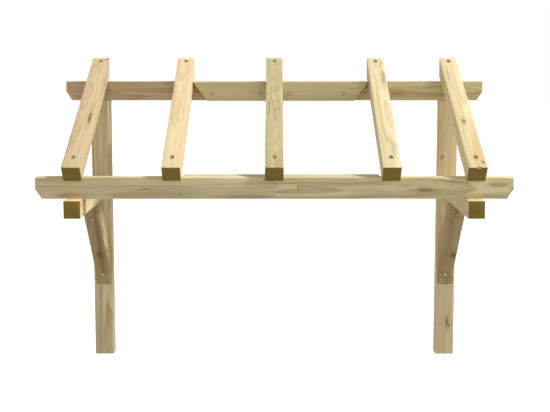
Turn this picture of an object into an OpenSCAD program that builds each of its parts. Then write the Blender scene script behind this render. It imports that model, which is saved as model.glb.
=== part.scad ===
// Open timber frame of a door canopy, fixed to a wall over a doorway.
// X runs along the wall, Y points into the wall and Z is up.
// The origin is on the back face of the rear beam, at mid height, where its two halves meet.

/* [Posts] */
// Width of each wall post, along the wall
post_width = 90; // [60:1:140]
// Thickness of each wall post, out from the wall
post_thick = 45; // [30:1:80]
// Height of each wall post, foot to rear beam
post_height = 1258; // [1050:1:1800]
// Distance between the outer faces of the two posts
post_spread = 1768; // [1300:2:1900]

/* [Beams] */
// Length of each half beam
half_beam_length = 1000; // [960:5:1300]
// Height of the front and rear beams
beam_height = 90; // [70:1:140]
// Thickness of the front and rear beams
beam_thick = 45; // [35:1:70]
// Width of the sloping cut under each beam end
end_cut_width = 27; // [10:1:60]
// Height of the sloping cut under each beam end
end_cut_height = 42; // [15:1:60]
// Length of the tongue that joins the two halves of a beam
tongue_length = 97; // [50:1:200]
// Height of that tongue
tongue_height = 38; // [20:1:50]
// Gap round the tongue and between the two halves
joint_gap = 0.5; // [0.2:0.1:0.8]
// Distance from the front of the posts to the front face of the front beam
front_beam_out = 508; // [400:1:700]

/* [Splice plates] */
// Height of the plates that back up the beam joints
plate_height = 90; // [60:1:140]
// Thickness of those plates
plate_thick = 45; // [20:1:60]
// How much shorter each plate end is at its lower edge
plate_end_cut = 68; // [0:1:100]
// Gap between a plate end and the rafter beside it
plate_end_gap = 0.5; // [0.3:0.1:0.8]

/* [Arms] */
// Width of each arm, along the wall
arm_width = 70; // [45:1:80]
// Height of each arm's section
arm_depth = 75; // [50:1:120]
// Height of the top of the arms above the foot of the posts
arm_top = 878; // [800:1:900]
// How far each arm sticks out in front of the front beam
arm_past_beam = 44; // [10:1:80]
// How far the outer side of an arm is set in from the outer side of its post
arm_inset = 13; // [0:1:16]

/* [Braces] */
// Depth of each brace's section
brace_depth = 75; // [50:1:100]
// Slope of the braces, in degrees from level
brace_angle = 58; // [50:1:64]
// Distance from the front of the posts to the upper end of a brace
brace_reach = 228; // [180:1:320]
// Height of the upright face at the upper end of a brace
brace_nose_height = 54; // [20:1:80]
// Thickness of the toe at the lower end of a brace
brace_toe_thick = 23; // [15:1:40]
// Height of the upright face of that toe
brace_toe_height = 44; // [36:1:80]
// Height of the sloping cut under that toe
brace_toe_cut = 24; // [0:1:40]

/* [Rafters] */
// Width of each rafter
rafter_width = 78; // [50:1:100]
// Depth of each rafter, square to its slope
rafter_depth = 70; // [50:1:120]
// How far the outer rafters' middles are set in from the beam ends
outer_rafter_inset = 160; // [60:1:200]
// Place of the second rafter from the left, from the middle
rafter_2_place = -427; // [-500:1:-350]
// Place of the fourth rafter from the left, from the middle
rafter_4_place = 487; // [400:1:560]
// How far the top edge of a rafter's front end stands out in front of the front beam
rafter_past_beam = 40; // [35:1:120]
// Lean of the rafters' front ends, in degrees from upright
rafter_nose_lean = 29; // [0:1:32]
// Height of the notch that sits over each beam's front edge
rafter_notch = 9; // [4:1:16]

/* [Screws] */
// Diameter of the screw heads
head_width = 14; // [10:1:16]
// Thickness of the screw heads
head_thick = 4; // [2:0.5:5]
// Diameter of the screw shanks
shank_width = 6; // [4:0.5:8]
// Diameter of the flat-bottomed hole for each head
counterbore_width = 20; // [16.5:0.5:20]
// Depth of the heads' holes in the rafters, at their middle
rafter_counterbore = 9; // [9:1:20]
// Depth of the heads' holes in the plates and brace toes
small_counterbore = 5; // [4:0.5:8]
// Clearance round each shank and past its tip
shank_clearance = 0.4; // [0.2:0.1:0.8]
// Depth of the heads' holes in the upper ends of the braces, at their middle
brace_counterbore = 22; // [18:1:30]
// Length of each rafter screw inside the beam below, and of each upper brace screw inside the arm
long_screw_bite = 50; // [30:1:60]
// Length of each plate or brace screw inside the timber behind
small_screw_bite = 35; // [20:1:36]
// Distance from the front face of the front beam back to the front rafter screws
front_screw_in = 9; // [8:1:30]
// Distance from the wall to the rear rafter screws
rear_screw_out = 19; // [12:1:30]
// Places of the screws along the plates, from the middle
plate_screw_places = [-295, -65, 71, 327]; // [-340:1:380]
// How far those screws are below the middle of the plates
plate_screw_drop = 9; // [0:1:20]
// Distance from the top of a brace's toe face down to its screw
toe_screw_drop = 16; // [12:1:24]
// Distance from the upright face of a brace's upper end back to its screw
nose_screw_in = 14; // [12:1:24]

/* [Hidden] */
$fn = 32;
post_foot = -post_height - beam_height / 2;
beam_bottom = -beam_height / 2;
front_bottom = post_foot + arm_top;
front_top = front_bottom + beam_height;
rear_top = beam_height / 2;
front_face = post_thick + front_beam_out;
plate_face = beam_thick + plate_thick;
drop = rear_top - front_top;
slope = atan2(drop, front_face - beam_thick);
outer_place = half_beam_length - outer_rafter_inset;
rafter_places = [-outer_place, rafter_2_place, 0, rafter_4_place, outer_place];
plate_start = rafter_2_place + rafter_width / 2 + plate_end_gap;
plate_end = rafter_4_place - rafter_width / 2 - plate_end_gap;
post_place = (post_spread - post_width) / 2;
arm_place = post_spread / 2 - arm_inset - arm_width / 2;
arm_out = front_face + arm_past_beam;
arm_bottom = post_foot + arm_top - arm_depth;
brace_out = post_thick + brace_reach;
brace_foot_out = post_thick + brace_toe_thick;
brace_rise = brace_depth / cos(brace_angle);
brace_toe_top = arm_bottom - brace_nose_height - (brace_reach - brace_toe_thick) * tan(brace_angle);
front_screw_y = front_screw_in - front_face;
front_plate_screw_z = front_bottom + beam_height / 2 - plate_screw_drop;
// How far the holes for the heads are carried on, out of the timber, from the seat of the head
head_run_out = 70;
EPS = 0.1;

// Height of the rafters' underside at a distance from the wall
function underside(out) = rear_top - rafter_notch - (out - beam_thick) * tan(slope);

// Height of the rafters' top at a distance from the wall
function rafter_top(out) = underside(out) + rafter_depth / cos(slope);

// Distance along the underside that a notch takes from its corner up to the bearing face
function seat_length() = rafter_notch / tan(slope);

// Stands a profile drawn as [distance along the wall, height] on a plane and gives it a thickness
// out from the wall, starting at a distance from it.
module along_wall(out, thick) {
    translate([0, -out, 0])
        rotate([90, 0, 0])
            linear_extrude(thick)
                children();
}

// Gives a profile drawn as [distance from the wall, height] a width along the wall, centred on a place.
module out_from_wall(place, width) {
    translate([place + width / 2, 0, 0])
        rotate([90, 0, -90])
            linear_extrude(width)
                children();
}

// One screw with its tip at the end of a shank of the given length; the head is at the origin and
// the screw points along -Z. A clearance widens and lengthens the shank to make its hole.
module shank(length, clearance = 0) {
    translate([0, 0, -length - clearance])
        cylinder(d = shank_width + 2 * clearance, h = length + clearance + EPS);
}

module screw(length) {
    cylinder(d = head_width, h = head_thick);
    shank(length);
}

// The counterbore and the shank's hole of one screw
module screw_hole(length) {
    cylinder(d = counterbore_width, h = head_run_out);
    shank(length, shank_clearance);
}

// Length of a rafter screw from under its head to its tip, at a distance from the wall
function rafter_screw_length(out, beam_top) =
    rafter_top(out) - rafter_counterbore - beam_top + long_screw_bite;

module at_rear_rafter_screws() {
    for (place = rafter_places)
        translate([place, -rear_screw_out, rafter_top(rear_screw_out) - rafter_counterbore])
            children();
}

module at_front_rafter_screws() {
    for (place = rafter_places)
        translate([place, front_screw_y, rafter_top(-front_screw_y) - rafter_counterbore])
            children();
}

// The rear plate is screwed from its front face, towards the wall
module at_rear_plate_screws() {
    for (place = plate_screw_places)
        translate([place, small_counterbore - plate_face, -plate_screw_drop])
            rotate([90, 0, 0])
                children();
}

// The front plate is screwed from its back face, away from the wall
module at_front_plate_screws() {
    for (place = plate_screw_places)
        translate([place, plate_face - front_face - small_counterbore, front_plate_screw_z])
            rotate([-90, 0, 0])
                children();
}

// A brace's toe is screwed to the post behind it
module at_toe_screw(side) {
    translate([side * arm_place, small_counterbore - brace_foot_out, brace_toe_top - toe_screw_drop])
        rotate([90, 0, 0])
            children();
}

// A brace's upper end is screwed upright into the arm above it
module at_nose_screw(side) {
    translate([side * arm_place, nose_screw_in - brace_out, nose_screw_z])
        rotate([180, 0, 0])
            children();
}

rear_rafter_screw = rafter_screw_length(rear_screw_out, rear_top);
front_rafter_screw = rafter_screw_length(-front_screw_y, front_top);
plate_screw = plate_thick - small_counterbore + small_screw_bite;
toe_screw = brace_toe_thick - small_counterbore + small_screw_bite;
nose_screw_z = arm_bottom - brace_nose_height - nose_screw_in * tan(brace_angle) + brace_counterbore;
nose_screw = arm_bottom - nose_screw_z + long_screw_bite;

// Outline of the left half of a beam, with its end cut and its tongue, above the height zero
module left_half_outline() {
    tongue_low = (beam_height - tongue_height) / 2;
    tongue_high = tongue_low + tongue_height;
    polygon([
        [-half_beam_length, end_cut_height],
        [-half_beam_length + end_cut_width, 0],
        [0, 0],
        [0, tongue_low],
        [tongue_length, tongue_low],
        [tongue_length, tongue_high],
        [0, tongue_high],
        [0, beam_height],
        [-half_beam_length, beam_height]
    ]);
}

// Outline of the right half, slotted for the tongue
module right_half_outline() {
    slot_low = (beam_height - tongue_height) / 2 - joint_gap;
    slot_high = slot_low + tongue_height + 2 * joint_gap;
    slot_end = tongue_length + joint_gap;
    polygon([
        [joint_gap, 0],
        [half_beam_length - end_cut_width, 0],
        [half_beam_length, end_cut_height],
        [half_beam_length, beam_height],
        [joint_gap, beam_height],
        [joint_gap, slot_high],
        [slot_end, slot_high],
        [slot_end, slot_low],
        [joint_gap, slot_low]
    ]);
}

module post(side) {
    color("#b7a278")
        difference() {
            translate([side * post_place - post_width / 2, -post_thick, post_foot])
                cube([post_width, post_thick, post_height]);
            at_toe_screw(side)
                shank(toe_screw, shank_clearance);
        }
}

// A half of the rear beam, from the outline drawn by its child
module rear_beam() {
    color("#c2ad80")
        difference() {
            translate([0, 0, beam_bottom])
                along_wall(0, beam_thick)
                    children();
            at_rear_rafter_screws()
                shank(rear_rafter_screw, shank_clearance);
            at_rear_plate_screws()
                shank(plate_screw, shank_clearance);
        }
}

// A half of the front beam, from the outline drawn by its child
module front_beam() {
    color("#c2ad80")
        difference() {
            translate([0, 0, front_bottom])
                along_wall(front_face - beam_thick, beam_thick)
                    children();
            at_front_rafter_screws()
                shank(front_rafter_screw, shank_clearance);
            at_front_plate_screws()
                shank(plate_screw, shank_clearance);
        }
}

module plate_outline() {
    polygon([
        [plate_start, plate_height],
        [plate_start + plate_end_cut, 0],
        [plate_end - plate_end_cut, 0],
        [plate_end, plate_height]
    ]);
}

module rear_splice_plate() {
    color("#a8946a")
        difference() {
            translate([0, 0, rear_top - plate_height])
                along_wall(beam_thick, plate_thick)
                    plate_outline();
            at_rear_plate_screws()
                screw_hole(plate_screw);
        }
}

module front_splice_plate() {
    color("#a8946a")
        difference() {
            translate([0, 0, front_top - plate_height])
                along_wall(front_face - plate_face, plate_thick)
                    plate_outline();
            at_front_plate_screws()
                screw_hole(plate_screw);
        }
}

module arm(side) {
    color("#d8c596")
        difference() {
            translate([side * arm_place - arm_width / 2, -arm_out, arm_bottom])
                cube([arm_width, arm_out - post_thick, arm_depth]);
            at_nose_screw(side)
                shank(nose_screw, shank_clearance);
        }
}

// A brace stands on its toe against the post and bears up under the arm
module brace(side) {
    nose_bottom = arm_bottom - brace_nose_height;
    back_at_post = nose_bottom - brace_reach * tan(brace_angle) + brace_rise;
    arm_seat = (brace_rise - brace_nose_height) / tan(brace_angle);
    color("#a58e5e")
        difference() {
            out_from_wall(side * arm_place, arm_width)
                polygon([
                    [brace_out, arm_bottom],
                    [brace_out, nose_bottom],
                    [brace_foot_out, brace_toe_top],
                    [brace_foot_out, brace_toe_top - brace_toe_height],
                    [post_thick, brace_toe_top - brace_toe_height - brace_toe_cut],
                    [post_thick, back_at_post],
                    [brace_out - arm_seat, arm_bottom]
                ]);
            at_toe_screw(side)
                screw_hole(toe_screw);
            at_nose_screw(side)
                screw_hole(nose_screw);
        }
}

// A rafter is cut upright at the wall and notched over both beams. The middle one also clears the
// rear plate, so its rear notch reaches out to the front of that plate.
module rafter(place, rear_notch_out = beam_thick) {
    tip_out = front_face + rafter_past_beam;
    tip_top = rafter_top(tip_out);
    tip_cut = rafter_depth / cos(slope - rafter_nose_lean);
    tip_back = tip_cut * sin(rafter_nose_lean);
    tip_drop = tip_cut * cos(rafter_nose_lean);
    color("#dcc99c")
        difference() {
            out_from_wall(place, rafter_width)
                polygon([
                    [0, rafter_top(0)],
                    [tip_out, tip_top],
                    [tip_out - tip_back, tip_top - tip_drop],
                    [front_face, underside(front_face)],
                    [front_face, front_top],
                    [front_face - seat_length(), front_top],
                    [rear_notch_out, underside(rear_notch_out)],
                    [rear_notch_out, rear_top],
                    [beam_thick - seat_length(), rear_top],
                    [0, underside(0)]
                ]);
            at_rear_rafter_screws()
                screw_hole(rear_rafter_screw);
            at_front_rafter_screws()
                screw_hole(front_rafter_screw);
        }
}

module rear_rafter_screws() {
    color("#b9bdc0")
        at_rear_rafter_screws()
            screw(rear_rafter_screw);
}

module front_rafter_screws() {
    color("#b9bdc0")
        at_front_rafter_screws()
            screw(front_rafter_screw);
}

module rear_plate_screws() {
    color("#b9bdc0")
        at_rear_plate_screws()
            screw(plate_screw);
}

module front_plate_screws() {
    color("#b9bdc0")
        at_front_plate_screws()
            screw(plate_screw);
}

module brace_screws(side) {
    color("#b9bdc0") {
        at_toe_screw(side)
            screw(toe_screw);
        at_nose_screw(side)
            screw(nose_screw);
    }
}

post(-1);  // post_left
post(1);  // post_right
rear_beam() left_half_outline();  // rear_beam_left
rear_beam() right_half_outline();  // rear_beam_right
front_beam() left_half_outline();  // front_beam_left
front_beam() right_half_outline();  // front_beam_right
rear_splice_plate();
front_splice_plate();
arm(-1);  // arm_left
arm(1);  // arm_right
brace(-1);  // brace_left
brace(1);  // brace_right
rafter(rafter_places[0]);  // rafter_1
rafter(rafter_places[1]);  // rafter_2
rafter(rafter_places[2], plate_face);  // rafter_3
rafter(rafter_places[3]);  // rafter_4
rafter(rafter_places[4]);  // rafter_5
rear_rafter_screws();
front_rafter_screws();
rear_plate_screws();
front_plate_screws();
brace_screws(-1);  // brace_screws_left
brace_screws(1);  // brace_screws_right
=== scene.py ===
import math

import bpy
from mathutils import Euler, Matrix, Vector


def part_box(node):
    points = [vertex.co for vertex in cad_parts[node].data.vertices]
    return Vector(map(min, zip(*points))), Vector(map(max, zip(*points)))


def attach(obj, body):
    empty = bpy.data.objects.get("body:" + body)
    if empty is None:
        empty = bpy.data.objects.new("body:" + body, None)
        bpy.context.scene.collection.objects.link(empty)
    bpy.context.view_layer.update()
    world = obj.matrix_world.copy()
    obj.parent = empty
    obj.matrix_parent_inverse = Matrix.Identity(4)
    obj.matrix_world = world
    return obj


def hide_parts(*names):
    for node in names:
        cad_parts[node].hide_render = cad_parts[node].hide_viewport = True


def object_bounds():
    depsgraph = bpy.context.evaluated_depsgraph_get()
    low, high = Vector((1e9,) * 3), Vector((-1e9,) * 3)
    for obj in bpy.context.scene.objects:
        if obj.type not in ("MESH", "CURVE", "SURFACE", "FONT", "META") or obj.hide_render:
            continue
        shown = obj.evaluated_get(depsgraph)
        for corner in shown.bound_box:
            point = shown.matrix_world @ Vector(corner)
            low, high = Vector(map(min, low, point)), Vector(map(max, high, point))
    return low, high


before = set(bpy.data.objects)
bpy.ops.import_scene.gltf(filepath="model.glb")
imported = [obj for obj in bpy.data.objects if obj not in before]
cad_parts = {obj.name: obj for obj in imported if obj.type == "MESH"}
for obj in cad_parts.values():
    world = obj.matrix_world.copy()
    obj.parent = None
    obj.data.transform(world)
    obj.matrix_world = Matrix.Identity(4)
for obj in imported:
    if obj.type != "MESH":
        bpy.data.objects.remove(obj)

cad_box = [list(corner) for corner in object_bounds()]


# Wall posts: two planed uprights of treated softwood that carry the rear beam on their tops. Each is
# screwed flat to the wall, and its arrises are eased by the planer.
class Value:
    """A shader socket with arithmetic, and one method that adds any other node."""

    def __init__(self, socket):
        self.socket = socket

    def node(self, kind, settings=None, output=0, **sockets):
        """Adds a node: its settings first, then its sockets, named or numbered as in_0."""
        tree = self.socket.id_data
        made = tree.nodes.new(kind)
        for name, value in (settings or {}).items():
            if name == "stops":
                set_stops(made.color_ramp, value)
            else:
                setattr(made, name, value)
        for name, value in sockets.items():
            key = int(name[3:]) if name.startswith("in_") else name.replace("_", " ")
            if isinstance(value, Value):
                tree.links.new(value.socket, made.inputs[key])
            else:
                made.inputs[key].default_value = value
        return Value(made.outputs[output])

    def math(self, operation, first, second=0.0):
        return self.node("ShaderNodeMath", {"operation": operation}, in_0=first, in_1=second)

    def __add__(self, other):
        return self.math("ADD", self, other)

    __radd__ = __add__

    def __mul__(self, other):
        return self.math("MULTIPLY", self, other)

    __rmul__ = __mul__

    def __sub__(self, other):
        return self.math("SUBTRACT", self, other)

    def __rsub__(self, other):
        return self.math("SUBTRACT", other, self)

    def __truediv__(self, other):
        return self.math("DIVIDE", self, other)

    def __pow__(self, other):
        return self.math("POWER", self, other)

    def root(self):
        return self.math("SQRT", self)

    def size(self):
        return self.math("ABSOLUTE", self)

    def fraction(self):
        return self.math("FRACT", self)

    def rise(self, start, end):
        """0 below start, 1 above end and smooth between; it falls where end is below start."""
        low, high = sorted((start, end))
        up = self.node(
            "ShaderNodeMapRange",
            {"interpolation_type": "SMOOTHSTEP"},
            Value=self,
            From_Min=low,
            From_Max=high,
        )
        return up if start < end else 1 - up

    def stretch(self, along, across):
        """A vector made longer or shorter along the grain and across it."""
        return self.node(
            "ShaderNodeVectorMath", {"operation": "MULTIPLY"}, in_0=self, in_1=(along, across, across)
        )

    def noise(self, along, across, detail=2.0, shift=0.0):
        """Noise from 0 to 1, with that many waves a metre along and across the grain."""
        place = self.stretch(along, across)
        return place.node(
            "ShaderNodeTexNoise", {"noise_dimensions": "4D"}, Vector=place, W=shift, Scale=1.0, Detail=detail
        )

    def parts(self):
        """The three numbers of a vector."""
        split = self.node("ShaderNodeSeparateXYZ", in_0=self)
        return [Value(output) for output in split.socket.node.outputs]

    def blend(self, start, end):
        """The colour between two colours that this value picks."""
        return self.node(
            "ShaderNodeMix", {"data_type": "RGBA"}, output=2, in_0=self, in_6=start, in_7=end
        )


def set_stops(ramp, stops):
    while len(ramp.elements) < len(stops):
        ramp.elements.new(1.0)
    for element, (place, colour) in zip(ramp.elements, stops):
        element.position = place
        element.color = colour


def colour(red, green, blue):
    """A colour as it looks on screen, 0 to 255, as the linear colour that a shader takes."""
    return tuple(((c / 255 + 0.055) / 1.055) ** 2.4 for c in (red, green, blue)) + (1.0,)


# Which way the grain runs: the turn that brings a timber's length onto X
ALONG_WALL = Euler((0, 0, 0))
UPRIGHT = Euler((0, math.radians(90), 0))
OUT_FROM_WALL = Euler((0, 0, math.radians(90)))

PALE = colour(238, 223, 184)
CREAM = colour(240, 224, 178)
HONEY = colour(226, 196, 142)
PINK = colour(222, 190, 152)
GREEN = colour(205, 194, 142)
BROWN = colour(186, 156, 116)
DARK_BROWN = colour(160, 126, 88)
KNOT = colour(128, 88, 52)
END_GRAIN = colour(162, 134, 62)
END_GRAIN_DARK = colour(116, 96, 42)


def softwood(
    name,
    turn,
    pith,
    seed,
    early=PALE,
    late=HONEY,
    stain=GREEN,
    heart=BROWN,
    ring_width=0.008,
    waviness=0.05,
    heart_radius=0.03,
    contrast=1.0,
    knots=(),
    curl=0.0,
    shakes=(),
):
    """Treated softwood sawn from a log whose pith runs along the timber through the point pith. The
    growth rings, knots and heartwood are solid, so they meet round the corners and on the ends.
    Each knot is its middle, its length along the grain, its width and its darkness. Each shake is a
    drying crack that runs along the grain from one distance and side to another."""
    material = bpy.data.materials.new(name)
    material.use_nodes = True
    tree = material.node_tree
    shader = tree.nodes["Principled BSDF"]
    coordinates = tree.nodes.new("ShaderNodeTexCoord")
    place = Value(coordinates.outputs["Object"])
    normal = Value(coordinates.outputs["Normal"])

    offset = Vector(pith)
    offset.rotate(turn)
    grain = place.node("ShaderNodeMapping", Vector=place, Location=-offset, Rotation=tuple(turn))
    facing = place.node("ShaderNodeMapping", Vector=normal, Rotation=tuple(turn))
    length, side, rise = grain.parts()

    # The log's own bends
    bend = grain.noise(1.5, 5.0, 1.0, seed)
    sweep = grain.noise(1.1, 4.0, 1.0, seed + 20)
    ripple = grain.noise(6.0, 34.0, 2.0, seed + 3)
    bent_side = side + (bend - 0.5) * waviness
    bent_rise = rise + (sweep - 0.5) * waviness * 1.6
    radius = (bent_side * bent_side + bent_rise * bent_rise).root()

    # Small branches that left pin knots along the whole log
    angle = radius.math("ARCTAN2", rise, side)
    branch_place = angle.node("ShaderNodeCombineXYZ", in_0=length * 2.6 + seed * 7.3, in_1=angle * 0.48 + 5.0)
    branch = angle.node(
        "ShaderNodeTexVoronoi",
        {"voronoi_dimensions": "2D"},
        output=2,
        Vector=branch_place,
        Scale=1.0,
        Randomness=0.8,
    )
    branch_along, branch_round, _ = branch.parts()
    away_along = (length * 2.6 + seed * 7.3 - branch_along) / 2.6
    away_round = (angle * 0.48 + 5.0 - branch_round) / 0.48 * radius
    away = (away_along * away_along * 0.6 + away_round * away_round).root()
    odds = branch.node("ShaderNodeTexWhiteNoise", {"noise_dimensions": "2D"}, Vector=branch)
    pin_radius = odds.rise(0.82, 1.0) * 0.006
    near = away / (pin_radius + 0.0001) + (ripple - 0.5) * 0.5
    knot = near.rise(1.15, 0.8)
    halo = near.rise(2.6, 1.0)
    swirl = (near * near * -0.3).math("EXPONENT", near * near * -0.3) * pin_radius * 1.5

    # The large knots, each where it is on the real timber
    for middle, long, wide, darkness in knots:
        spot = Vector(middle) - Vector(pith)
        spot.rotate(turn)
        from_knot = grain.node("ShaderNodeVectorMath", {"operation": "SUBTRACT"}, in_0=grain, in_1=tuple(spot))
        scaled = from_knot.stretch(2 / long, 2 / wide)
        near = scaled.node("ShaderNodeVectorMath", {"operation": "LENGTH"}, output=1, in_0=scaled)
        near = near + (ripple - 0.5) * 0.9
        knot = knot.math("MAXIMUM", knot, near.rise(1.2, 0.55) * darkness)
        halo = halo.math("MAXIMUM", halo, near.rise(2.8, 1.0) * darkness)
        swirl = swirl + (near * near * -0.22).math("EXPONENT", near * near * -0.22) * wide * 0.45

    # Growth rings: pale early wood that darkens to a line of late wood, with finer lines between
    ring_radius = radius + swirl + (ripple - 0.5) * 0.006
    uneven = grain.noise(0.4, 1.0, 1.0, seed + 9)
    rings = ring_radius / ring_width + uneven * 3
    ring = rings.fraction()
    late_line = ring ** 2 * ring.rise(1.0, 0.82)
    fine = (rings * 3.3).fraction()
    fibre = grain.noise(12.0, 420.0, 2.0, seed + 1)
    streak = grain.noise(1.8, 48.0, 3.0, seed + 2)
    cloud = grain.noise(2.4, 12.0, 2.0, seed + 5)
    band = grain.noise(0.9, 19.0, 1.0, seed + 7)
    heartwood = (ring_radius + (cloud - 0.5) * 0.04).rise(heart_radius, heart_radius * 0.5)

    tone = (late_line * 0.85 + streak.rise(0.4, 0.75) * 0.6 + (fibre - 0.5) * 0.35 + (fine - 0.5) * 0.16) * contrast
    tone = tone.math("MINIMUM", tone, 1.0)
    if curl:
        # Wavy grain that crosses the timber
        wave = (length * 17 + (ripple - 0.5) * 2 + (bend - 0.5) * 9 + side * 22).fraction()
        tone = tone + wave.rise(0.5, 0.85) * wave.rise(1.0, 0.86) * curl
    face = tone.blend(early, late)
    face = (cloud.rise(0.45, 0.7) * 0.6).blend(face, stain)
    face = (band.rise(0.55, 0.75) * 0.4).blend(face, late)
    face = (heartwood * 0.6).blend(face, heart)
    face = (halo * 0.3).blend(face, DARK_BROWN)
    face = (knot * (0.75 + (ripple - 0.5) * 0.8)).blend(face, KNOT)

    # Drying checks and cracks open along the grain. The cracks are real, but their gaps are not cut, so the dark brown
    # line along each one is painted shade in the gap. The bump only dents them a little.
    split_noise = grain.noise(2.4, 75.0, 1.0, seed + 11)
    crack_and_gap_shade = (split_noise - 0.5).size().rise(0.012, 0.003) * grain.noise(3.0, 9.0, 1.0, seed + 12).rise(0.6, 0.68)
    for start_along, start_side, end_along, end_side, wide in shakes:
        run = (length - start_along) / (end_along - start_along)
        off = side - start_side - run * (end_side - start_side) + (ripple - 0.5) * 0.014
        open_width = run.rise(0.0, 0.25) * run.rise(1.0, 0.7)
        crack = off.size().rise(wide, wide * 0.4) * open_width * facing_up(facing)
        crack_and_gap_shade = crack_and_gap_shade.math("MAXIMUM", crack_and_gap_shade, crack)
    # Painted shade: each crack's gap is darkened towards dark brown, standing in for the shade inside it
    face = (crack_and_gap_shade * 0.8).blend(face, DARK_BROWN)

    # The sawn ends drink the treatment and go dark olive
    end_facing, _, _ = facing.parts()
    end = end_facing.size().rise(0.6, 0.85)
    sawn = (late_line * 0.7 + (fibre - 0.5) * 0.8 + cloud * 0.6).blend(END_GRAIN, END_GRAIN_DARK)
    surface = end.blend(face, sawn)

    height = late_line * 0.35 + fibre * 0.5 - crack_and_gap_shade * 2.5 - knot * 0.3
    bump = height.node("ShaderNodeBump", Strength=0.5, Distance=0.0006, Height=height)
    roughness = 0.68 + late_line * 0.1 + (fibre - 0.5) * 0.15 + end * 0.12
    tree.links.new(surface.socket, shader.inputs["Base Color"])
    tree.links.new(roughness.socket, shader.inputs["Roughness"])
    tree.links.new(bump.socket, shader.inputs["Normal"])
    shader.inputs["Specular IOR Level"].default_value = 0.25
    return material


def facing_up(facing):
    """1 on the side of the timber that is turned away from the pith's underside."""
    _, _, up = facing.parts()
    return up.rise(0.4, 0.7)


def start_timber(name, low, high, turn=(0, 0, 0)):
    """A squared timber between two corners, turned about its middle."""
    bpy.ops.object.select_all(action="DESELECT")
    low, high = Vector(low), Vector(high)
    bpy.ops.mesh.primitive_cube_add(size=1, location=(low + high) / 2, rotation=turn, scale=high - low)
    bpy.ops.object.transform_apply(location=True, rotation=True, scale=True)
    bpy.context.object.name = name
    return bpy.context.object


def cut_with(timber, cutter):
    """Takes the cutter's shape out of the timber and removes the cutter."""
    modifier = timber.modifiers.new("cut", "BOOLEAN")
    modifier.object = cutter
    modifier.solver = "EXACT"
    bpy.context.view_layer.objects.active = timber
    bpy.ops.object.modifier_apply(modifier="cut")
    bpy.data.objects.remove(cutter, do_unlink=True)


def ease_arrises(timber, width=0.0025):
    """Rounds every sharp edge a little, as planing and sanding do."""
    bpy.context.view_layer.objects.active = timber
    bpy.ops.object.mode_set(mode="EDIT")
    bpy.ops.mesh.select_all(action="SELECT")
    bpy.ops.mesh.remove_doubles(threshold=0.00005)
    bpy.ops.object.mode_set(mode="OBJECT")
    modifier = timber.modifiers.new("arris", "BEVEL")
    modifier.width = width
    modifier.segments = 3
    modifier.limit_method = "ANGLE"
    modifier.angle_limit = math.radians(20)
    bpy.context.view_layer.objects.active = timber
    bpy.ops.object.modifier_apply(modifier="arris")


def finish_timber(timber, material):
    """Gives the timber its wood, smooths its rounded edges only, and hangs it on the frame."""
    timber.data.materials.append(material)
    if any(face.material_index for face in timber.data.polygons):
        timber.data.materials.append(drilled)
    bpy.ops.object.select_all(action="DESELECT")
    timber.select_set(True)
    bpy.context.view_layer.objects.active = timber
    bpy.ops.object.shade_smooth_by_angle(angle=math.radians(35))
    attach(timber, "root")


for side, pith_side, seed, tones in (
    (
        "left",
        0.012,
        4.0,
        {"early": colour(240, 222, 180), "late": colour(190, 160, 114), "stain": GREEN, "knots": ()},
    ),
    (
        "right",
        -0.035,
        11.0,
        {
            "early": CREAM,
            "late": colour(230, 200, 150),
            "ring_width": 0.012,
            "stain": PINK,
            "heart": PINK,
            "knots": (((0.85, -0.045, -1.141), 0.05, 0.014, 0.8), ((0.858, -0.045, -1.158), 0.02, 0.02, 0.6)),
        },
    ),
):
    node = "post_" + side
    low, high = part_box(node)
    post = start_timber("timber_" + node, low, high)
    ease_arrises(post)
    middle = (low + high) / 2
    pith = (middle.x + pith_side, high.y + 0.02, 0)
    finish_timber(post, softwood("wood_" + node, UPRIGHT, pith, seed, **tones))
    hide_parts(node)


# Beams: the rear beam lies on the posts against the wall and the front beam on the arms. Each is two
# planed halves, joined by a tongue on the left half that fits a slot in the right half, with a
# sloping cut under each outer end.
END_CUT_WIDTH = 0.027
END_CUT_HEIGHT = 0.042
TONGUE_HEIGHT = 0.038
JOINT_GAP = 0.0005


def slope_end(timber, corner, inward):
    """Cuts the lower corner off a beam's end: corner is the end's lowest point."""
    bpy.context.view_layer.objects.active = timber
    bpy.ops.object.mode_set(mode="EDIT")
    bpy.ops.mesh.select_all(action="SELECT")
    bpy.ops.mesh.bisect(
        plane_co=corner + Vector((0, 0, END_CUT_HEIGHT)),
        plane_no=(inward * END_CUT_HEIGHT, 0, END_CUT_WIDTH),
        use_fill=True,
        clear_inner=True,
    )
    bpy.ops.object.mode_set(mode="OBJECT")


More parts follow.
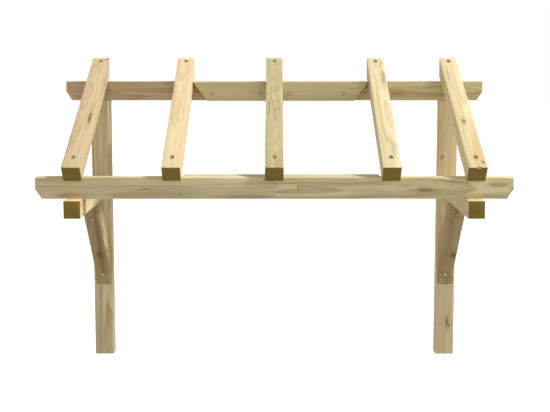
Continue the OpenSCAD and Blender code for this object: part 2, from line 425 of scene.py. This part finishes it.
for place, seed, tones in (
    (
        "rear",
        21.0,
        (
            {"early": colour(216, 192, 152), "late": colour(176, 142, 102), "stain": PINK},
            {
                "early": colour(226, 210, 162),
                "late": colour(190, 168, 116),
                "stain": GREEN,
                "knots": (((0.596, -0.045, -0.012), 0.07, 0.012, 0.7),),
            },
        ),
    ),
    (
        "front",
        33.0,
        (
            {
                "early": colour(236, 222, 178),
                "late": colour(202, 178, 132),
                "knots": (((-0.854, -0.553, -0.412), 0.09, 0.024, 0.5), ((-0.1, -0.553, -0.418), 0.2, 0.02, 0.5)),
            },
            {
                "early": colour(242, 228, 180),
                "late": colour(198, 174, 126),
                "stain": GREEN,
                "knots": (
                    ((0.629, -0.553, -0.387), 0.07, 0.014, 0.8),
                    ((0.935, -0.553, -0.366), 0.07, 0.014, 0.5),
                    ((0.998, -0.553, -0.383), 0.012, 0.022, 1.0),
                ),
            },
        ),
    ),
):
    left_low, left_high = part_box(f"{place}_beam_left")
    right_low, right_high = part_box(f"{place}_beam_right")
    middle_z = (left_low.z + left_high.z) / 2
    tongue = Vector((0, 0, TONGUE_HEIGHT / 2))

    # The left half is made whole, and its tongue is left by cutting away above and below it
    left = start_timber(f"timber_{place}_beam_left", left_low, left_high)
    for low_z, high_z in ((left_low.z - 0.01, middle_z - TONGUE_HEIGHT / 2), (middle_z + TONGUE_HEIGHT / 2, left_high.z + 0.01)):
        waste = start_timber("waste", (0, left_low.y - 0.01, low_z), (left_high.x + 0.01, left_high.y + 0.01, high_z))
        cut_with(left, waste)
    slope_end(left, left_low, 1)

    right = start_timber(f"timber_{place}_beam_right", right_low, right_high)
    slot_half = TONGUE_HEIGHT / 2 + JOINT_GAP
    waste = start_timber(
        "waste",
        (-0.01, right_low.y - 0.01, middle_z - slot_half),
        (left_high.x + JOINT_GAP, right_high.y + 0.01, middle_z + slot_half),
    )
    cut_with(right, waste)
    slope_end(right, Vector((right_high.x, right_low.y, right_low.z)), -1)

    for half, name, shift, tone in ((left, "left", 0.0, tones[0]), (right, "right", 5.0, tones[1])):
        ease_arrises(half, 0.0018)
        pith = (0, left_high.y + 0.012, middle_z - 0.03 + shift * 0.006)
        wood = softwood(f"wood_{place}_beam_{name}", ALONG_WALL, pith, seed + shift, **tone)
        finish_timber(half, wood)
        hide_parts(f"{place}_beam_{name}")


# Splice plates: a short length of the same timber behind each beam joint, cut back at both ends so
# that it is longer on top, and screwed to both halves of the beam.
PLATE_END_CUT = 0.068

PLATE_SCREW_PLACES = (-0.295, -0.065, 0.071, 0.327)
COUNTERBORE_RADIUS = 0.01


def bore(timber, seat, outward, run_out=0.07):
    """Drills the flat-bottomed hole that a screw's head sits in, from its seat outwards."""
    outward = Vector(outward)
    bpy.ops.object.select_all(action="DESELECT")
    bpy.ops.mesh.primitive_cylinder_add(
        vertices=32,
        radius=COUNTERBORE_RADIUS,
        depth=run_out,
        location=Vector(seat) + outward * run_out / 2,
        rotation=outward.to_track_quat("Z", "Y").to_euler(),
    )
    cut_with(timber, bpy.context.object)
    for face in timber.data.polygons:
        if all(
            (timber.data.vertices[i].co - Vector(seat)).cross(outward).length < COUNTERBORE_RADIUS + 0.0001
            for i in face.vertices
        ):
            face.material_index = 1


# The inside of a drilled hole is cut after the treatment, so it is paler than a sawn end
drilled = bpy.data.materials.new("drilled_wood")
drilled.use_nodes = True
place = Value(drilled.node_tree.nodes.new("ShaderNodeTexCoord").outputs["Object"])
torn = place.noise(300.0, 300.0, 3.0, 1.0)
drilled_tone = torn.rise(0.3, 0.7).blend(colour(222, 202, 150), colour(182, 156, 104))
drilled.node_tree.links.new(drilled_tone.socket, drilled.node_tree.nodes["Principled BSDF"].inputs["Base Color"])
torn_height = torn.node("ShaderNodeBump", Strength=0.6, Distance=0.0005, Height=torn)
drilled.node_tree.links.new(torn_height.socket, drilled.node_tree.nodes["Principled BSDF"].inputs["Normal"])
drilled.node_tree.nodes["Principled BSDF"].inputs["Roughness"].default_value = 0.8

for place, seed in (("rear", 41.0), ("front", 47.0)):
    node = f"{place}_splice_plate"
    low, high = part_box(node)
    plate = start_timber("timber_" + node, low, high)
    seat_y = low.y + 0.005 if place == "rear" else high.y - 0.005
    outward = (0, -1, 0) if place == "rear" else (0, 1, 0)
    bpy.context.view_layer.objects.active = plate
    for end_x, inward in ((low.x, 1), (high.x, -1)):
        bpy.ops.object.mode_set(mode="EDIT")
        bpy.ops.mesh.select_all(action="SELECT")
        bpy.ops.mesh.bisect(
            plane_co=(end_x, low.y, high.z),
            plane_no=(inward * (high.z - low.z), 0, PLATE_END_CUT),
            use_fill=True,
            clear_inner=True,
        )
        bpy.ops.object.mode_set(mode="OBJECT")
    ease_arrises(plate, 0.0018)
    for screw_x in PLATE_SCREW_PLACES:
        screws_low, screws_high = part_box(f"{place}_plate_screws")
        bore(plate, (screw_x, seat_y, (screws_low.z + screws_high.z) / 2), outward)
    wood = softwood(
        "wood_" + node, ALONG_WALL, (0, high.y + 0.01, low.z - 0.05), seed, early=colour(226, 206, 160), late=GREEN
    )
    finish_timber(plate, wood)
    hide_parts(node)


# Arms: two square timbers that stand straight out from the posts and carry the front beam.
for side, seed in (("left", 53.0), ("right", 59.0)):
    node = "arm_" + side
    low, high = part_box(node)
    arm = start_timber("timber_" + node, low, high)
    ease_arrises(arm)
    middle = (low + high) / 2
    wood = softwood("wood_" + node, OUT_FROM_WALL, (middle.x + 0.05, 0, middle.z + 0.02), seed, early=CREAM)
    finish_timber(arm, wood)
    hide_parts(node)


# Braces: sloping struts from post to arm. Their upper ends are cut level under the arm with an
# upright nose, and their lower ends form a short toe against the post.
BRACE_ANGLE = math.radians(58)
BRACE_NOSE_HEIGHT = 0.054
BRACE_TOE_THICK = 0.023
BRACE_TOE_HEIGHT = 0.044
BRACE_DEPTH = 0.075


def cut_off(timber, point, outward):
    """Saws the timber through a point and keeps the side that outward points away from."""
    bpy.context.view_layer.objects.active = timber
    bpy.ops.object.mode_set(mode="EDIT")
    bpy.ops.mesh.select_all(action="SELECT")
    bpy.ops.mesh.bisect(plane_co=point, plane_no=outward, use_fill=True, clear_outer=True)
    bpy.ops.object.mode_set(mode="OBJECT")


for side, seed in (("left", 61.0), ("right", 67.0)):
    node = "brace_" + side
    low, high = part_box(node)
    toe_top = high.z - BRACE_NOSE_HEIGHT - (high.y - low.y - BRACE_TOE_THICK) * math.tan(BRACE_ANGLE)
    brace = start_timber("timber_" + node, low, high)
    nose = Vector((0, low.y, high.z - BRACE_NOSE_HEIGHT))
    front = Vector((0, -math.sin(BRACE_ANGLE), -math.cos(BRACE_ANGLE)))
    toe = Vector((0, high.y - BRACE_TOE_THICK, toe_top - BRACE_TOE_HEIGHT))
    toe_cut = toe.z - low.z
    waste = start_timber(
        "waste", (low.x - 0.01, low.y - 0.01, low.z - 0.01), (high.x + 0.01, high.y - BRACE_TOE_THICK, nose.z + 0.02)
    )
    cut_off(waste, nose, -front)
    cut_with(brace, waste)
    cut_off(brace, nose - front * BRACE_DEPTH, -front)
    cut_off(brace, toe, Vector((0, -toe_cut, -BRACE_TOE_THICK)))
    ease_arrises(brace)
    screws_low, screws_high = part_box(f"brace_screws_{side}")
    screw_x = (screws_low.x + screws_high.x) / 2
    toe_seat = Vector((screw_x, high.y - BRACE_TOE_THICK + 0.005, screws_low.z + 0.007))
    nose_seat = Vector((screw_x, low.y + 0.014, high.z - BRACE_NOSE_HEIGHT - 0.014 * math.tan(BRACE_ANGLE) + 0.022))
    bore(brace, toe_seat, (0, -1, 0))
    bore(brace, nose_seat, (0, 0, -1))
    middle = (low + high) / 2
    turn = Euler((0, 0, math.radians(90))).to_matrix() @ Euler((BRACE_ANGLE, 0, 0)).to_matrix()
    wood = softwood(
        "wood_" + node,
        turn.to_euler(),
        (middle.x - 0.02, middle.y + 0.02, middle.z - 0.02),
        seed,
        early=colour(204, 184, 134),
        late=colour(132, 106, 66),
        stain=BROWN,
        heart=BROWN,
        contrast=1.2,
        knots=(((middle.x + (0.006 if side == "left" else 0.018), -0.13, -0.78), 0.045, 0.03, 1.0),),
    )
    finish_timber(brace, wood)
    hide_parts(node)


# Rafters: five timbers notched over both beams, cut upright at the wall and nearly square at the
# front. The middle one is notched further, over the rear splice plate.
RAFTER_DEPTH = 0.070
NOTCH = 0.009
NOSE_LEAN = math.radians(29)

rear_low, rear_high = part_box("rear_beam_left")
front_low, front_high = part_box("front_beam_left")
slope = math.atan2(rear_high.z - front_high.z, rear_low.y - front_low.y)
downhill = Vector((0, -math.cos(slope), -math.sin(slope)))
rafter_up = Vector((0, -math.sin(slope), math.cos(slope)))
under_rear = Vector((0, rear_low.y, rear_high.z - NOTCH))

rafter_tones = (
    {
        "early": colour(222, 202, 162),
        "late": colour(198, 166, 122),
        "stain": PINK,
        "knots": (((-0.816, -0.348, -0.104), 0.085, 0.013, 1.0), ((-0.806, -0.002, 0.157), 0.03, 0.022, 0.9)),
    },
    {"early": colour(244, 222, 178), "late": colour(222, 184, 138), "stain": CREAM, "heart": PINK, "contrast": 0.8},
    {
        "early": colour(214, 200, 156),
        "late": colour(184, 166, 116),
        "stain": GREEN,
        "curl": 0.35,
        "contrast": 0.7,
        "shakes": ((-0.12, -0.024, 0.12, 0.008, 0.0024), (-0.08, -0.028, 0.04, -0.03, 0.0022)),
    },
    {
        "early": colour(248, 234, 190),
        "late": colour(220, 190, 134),
        "stain": PALE,
        "heart": HONEY,
        "knots": (((0.514, -0.12, 0.065), 0.1, 0.022, 0.45), ((0.5, -0.5, -0.22), 0.12, 0.02, 0.25)),
    },
    {
        "early": colour(248, 232, 186),
        "late": colour(222, 192, 136),
        "stain": CREAM,
        "heart": HONEY,
        "knots": (((0.834, -0.364, -0.115), 0.03, 0.014, 0.9), ((0.82, -0.1, 0.08), 0.14, 0.012, 0.4)),
    },
)
for number, tones in enumerate(rafter_tones, 1):
    node = f"rafter_{number}"
    low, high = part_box(node)
    middle = (low + high) / 2
    half_width = (high.x - low.x) / 2
    centre = Vector((middle.x, 0, 0)) + under_rear + rafter_up * RAFTER_DEPTH / 2 + downhill * 0.27
    half = Vector((half_width, 0.5, RAFTER_DEPTH / 2))
    rafter = start_timber("timber_" + node, centre - half, centre + half, (slope, 0, 0))
    cut_off(rafter, (0, 0, 0), (0, 1, 0))
    tip = centre.copy()
    tip_up = under_rear + rafter_up * RAFTER_DEPTH
    tip_point = tip_up + downhill * ((tip_up.y - low.y) / math.cos(slope))
    cut_off(rafter, tip_point, (0, -math.cos(NOSE_LEAN), -math.sin(NOSE_LEAN)))
    rear_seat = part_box("rear_splice_plate")[0].y if number == 3 else rear_low.y
    for seat_front, seat_top in ((rear_seat, rear_high.z), (front_low.y, front_high.z)):
        waste = start_timber(
            "waste", (low.x - 0.01, seat_front, seat_top - 0.2), (high.x + 0.01, max(seat_front + 0.1, 0.01), seat_top)
        )
        cut_with(rafter, waste)
    if number == 5:
        # A splinter has come off the top edge of its front end
        bpy.ops.object.select_all(action="DESELECT")
        bpy.ops.mesh.primitive_ico_sphere_add(
            subdivisions=2, radius=0.007, location=tip_point + Vector((middle.x + 0.006, 0, 0)), scale=(1.5, 0.9, 0.7)
        )
        cut_with(rafter, bpy.context.object)
    ease_arrises(rafter, 0.002)
    for screws in ("rear_rafter_screws", "front_rafter_screws"):
        screws_low, screws_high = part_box(screws)
        bore(rafter, (middle.x, (screws_low.y + screws_high.y) / 2, screws_high.z - 0.004), (0, 0, 1))
    turn = Euler((0, 0, math.radians(90))).to_matrix() @ Euler((-slope, 0, 0)).to_matrix()
    pith = centre + rafter_up * (-0.05) + Vector((0.012 * number - 0.03, 0, 0))
    wood = softwood("wood_" + node, turn.to_euler(), pith, 70.0 + number * 3, **tones)
    finish_timber(rafter, wood)
    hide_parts(node)


# Screws: plated steel timber screws with flat round heads, driven with a six-lobed bit. Two hold each
# rafter down, four each plate to its beam, and two each brace.
HEAD_THICK = 0.004
SHANK_RADIUS = 0.003

plated = bpy.data.materials.new("plated_steel")
plated.use_nodes = True
shader = plated.node_tree.nodes["Principled BSDF"]
place = Value(plated.node_tree.nodes.new("ShaderNodeTexCoord").outputs["Object"])
patches = place.noise(180.0, 180.0, 3.0, 2.0)
tint = patches.rise(0.35, 0.75).blend(colour(206, 196, 166), colour(154, 144, 114))
roughness = 0.45 + patches * 0.2
plated.node_tree.links.new(tint.socket, shader.inputs["Base Color"])
plated.node_tree.links.new(roughness.socket, shader.inputs["Roughness"])
shader.inputs["Metallic"].default_value = 0.65

screws_wanted = []
for node, places in (
    ("rear_rafter_screws", None),
    ("front_rafter_screws", None),
    ("rear_plate_screws", PLATE_SCREW_PLACES),
    ("front_plate_screws", PLATE_SCREW_PLACES),
    ("brace_screws_left", None),
    ("brace_screws_right", None),
):
    low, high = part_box(node)
    middle = (low + high) / 2
    if "rafter" in node:
        for number in range(1, 6):
            rafter_low, rafter_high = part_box(f"rafter_{number}")
            top = Vector(((rafter_low.x + rafter_high.x) / 2, middle.y, high.z))
            screws_wanted.append((node, top, Vector((0, 0, 1)), high.z - low.z))
    elif "plate" in node:
        toward = -1 if node.startswith("rear") else 1
        for x in places:
            top = Vector((x, low.y if toward < 0 else high.y, middle.z))
            screws_wanted.append((node, top, Vector((0, toward, 0)), high.y - low.y))
    else:
        brace_low, brace_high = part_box(node.replace("screws_", ""))
        toe_y = brace_high.y - BRACE_TOE_THICK + 0.005 - HEAD_THICK
        screws_wanted.append((node, Vector((middle.x, toe_y, low.z + 0.007)), Vector((0, -1, 0)), high.y - toe_y))
        nose_z = brace_high.z - BRACE_NOSE_HEIGHT - 0.014 * math.tan(BRACE_ANGLE) + 0.022 - HEAD_THICK
        screws_wanted.append((node, Vector((middle.x, low.y + 0.007, nose_z)), Vector((0, 0, -1)), high.z - nose_z))

# One screw, standing on the origin with the top of its head at zero
bpy.ops.object.select_all(action="DESELECT")
bpy.ops.mesh.primitive_cylinder_add(vertices=24, radius=0.007, depth=HEAD_THICK, location=(0, 0, -HEAD_THICK / 2))
bpy.ops.object.transform_apply(location=True, rotation=True, scale=True)
pattern_screw = bpy.context.object
modifier = pattern_screw.modifiers.new("rim", "BEVEL")
modifier.width = 0.0008
modifier.segments = 2
modifier.angle_limit = math.radians(60)
bpy.ops.object.modifier_apply(modifier="rim")


def select_faces(timber, wanted):
    """Leaves edit mode with only the faces that the test picks selected, then goes back in."""
    bpy.ops.object.mode_set(mode="EDIT")
    bpy.ops.mesh.select_all(action="DESELECT")
    bpy.ops.object.mode_set(mode="OBJECT")
    for face in timber.data.polygons:
        face.select = wanted(face)
    bpy.ops.object.mode_set(mode="EDIT")
    bpy.ops.mesh.select_mode(type="FACE")


select_faces(pattern_screw, lambda face: face.normal.z > 0.99 and face.area > 0.00005)
bpy.ops.mesh.inset(thickness=0.0031)
bpy.ops.object.mode_set(mode="OBJECT")
recess = next(face for face in pattern_screw.data.polygons if face.select)
for turn, index in enumerate(recess.vertices):
    if turn // 2 % 2:
        pattern_screw.data.vertices[index].co *= 0.72
        pattern_screw.data.vertices[index].co.z = 0
bpy.ops.object.mode_set(mode="EDIT")
bpy.ops.mesh.extrude_region_move(TRANSFORM_OT_translate={"value": (0, 0, -0.0026)})
bpy.ops.object.mode_set(mode="OBJECT")
select_faces(pattern_screw, lambda face: face.normal.z < -0.99 and face.area > 0.00005)
bpy.ops.mesh.inset(thickness=0.0032)
bpy.ops.mesh.extrude_region_move(TRANSFORM_OT_translate={"value": (0, 0, -0.03)})
bpy.ops.object.mode_set(mode="OBJECT")

counts = {}
for node, top, outward, length in screws_wanted:
    counts[node] = counts.get(node, 0) + 1
    screw = pattern_screw.copy()
    screw.data = pattern_screw.data.copy()
    screw.name = f"screw_{node}_{counts[node]}"
    bpy.context.collection.objects.link(screw)
    for vertex in screw.data.vertices:
        if vertex.co.z < -0.02:
            vertex.co.z = -length
    screw.rotation_euler = outward.to_track_quat("Z", "Y").to_euler()
    screw.location = top
    bpy.ops.object.select_all(action="DESELECT")
    screw.select_set(True)
    bpy.context.view_layer.objects.active = screw
    bpy.ops.object.transform_apply(location=True, rotation=True, scale=True)
    bpy.ops.object.shade_smooth_by_angle(angle=math.radians(30))
    screw.data.materials.clear()
    screw.data.materials.append(plated)
    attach(screw, "root")
    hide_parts(node)
bpy.data.objects.remove(pattern_screw, do_unlink=True)


# Floor and background: a plain white studio sweep below the frame. What the camera sees is white, and
# the floor still takes the frame's shadow.
FLOOR_DROP = 0.9
bpy.ops.object.select_all(action="DESELECT")
bpy.ops.mesh.primitive_plane_add(size=60, location=(0, 0, cad_box[0][2] - FLOOR_DROP))
bpy.ops.object.transform_apply(location=True, rotation=True, scale=True)
floor = bpy.context.object
floor.name = "studio_floor"
paint = bpy.data.materials.new("studio_paint")
paint.use_nodes = True
paint.node_tree.nodes.clear()
light_path = paint.node_tree.nodes.new("ShaderNodeLightPath")
seen = (
    Value(light_path.outputs["Is Camera Ray"])
    + Value(light_path.outputs["Is Glossy Ray"])
    + Value(light_path.outputs["Is Transmission Ray"])
)
seen = seen.math("MINIMUM", seen, 1.0)
white = seen.node("ShaderNodeBsdfDiffuse", Color=(0.95, 0.95, 0.95, 1))
glow = seen.node("ShaderNodeEmission", Color=(1, 1, 1, 1), Strength=0.2)
bright = seen.node("ShaderNodeAddShader", in_0=white, in_1=glow)
plain = seen.node("ShaderNodeBsdfDiffuse", Color=(0.42, 0.42, 0.42, 1))
mixed = seen.node("ShaderNodeMixShader", in_0=seen, in_1=plain, in_2=bright)
output = paint.node_tree.nodes.new("ShaderNodeOutputMaterial")
paint.node_tree.links.new(mixed.socket, output.inputs["Surface"])
floor.data.materials.append(paint)

world = bpy.data.worlds.new("studio")
bpy.context.scene.world = world
world.use_nodes = True
world.node_tree.nodes.clear()
light_path = world.node_tree.nodes.new("ShaderNodeLightPath")
seen = (
    Value(light_path.outputs["Is Camera Ray"])
    + Value(light_path.outputs["Is Glossy Ray"])
    + Value(light_path.outputs["Is Transmission Ray"])
)
seen = seen.math("MINIMUM", seen, 1.0)
AMBIENT = 0.42
background = seen.node("ShaderNodeBackground", Color=(1, 1, 1, 1), Strength=AMBIENT + seen * (1 - AMBIENT))
output = world.node_tree.nodes.new("ShaderNodeOutputWorld")
world.node_tree.links.new(background.socket, output.inputs["Surface"])


# Light: one broad key from the upper right, a little in front of the frame.
sun_data = bpy.data.lights.new("key", "SUN")
sun_data.energy = 2.9
sun_data.angle = math.radians(9)
sun_data.color = (1.0, 0.985, 0.95)
sun = bpy.data.objects.new("key", sun_data)
bpy.context.collection.objects.link(sun)
sun.rotation_euler = Vector((0.68, -0.035, 0.73)).to_track_quat("Z", "Y").to_euler()

fill_data = bpy.data.lights.new("fill", "SUN")
fill_data.energy = 0.38
fill_data.angle = math.radians(80)
fill = bpy.data.objects.new("fill", fill_data)
bpy.context.collection.objects.link(fill)
fill.rotation_euler = Vector((0.1, -1.0, 0.2)).to_track_quat("Z", "Y").to_euler()


# Camera: level with the rear beam and square to the wall, looking slightly down.
camera_data = bpy.data.cameras.new("camera")
camera_data.sensor_width = 36
camera_data.lens = 49.15
camera_data.shift_y = -0.17
camera = bpy.data.objects.new("camera", camera_data)
bpy.context.collection.objects.link(camera)
camera.location = (0.003, -3.652, 0.193)
camera.rotation_euler = (math.radians(90 - 4.71), 0, 0)
bpy.context.scene.camera = camera

bpy.context.scene.view_settings.view_transform = "Standard"
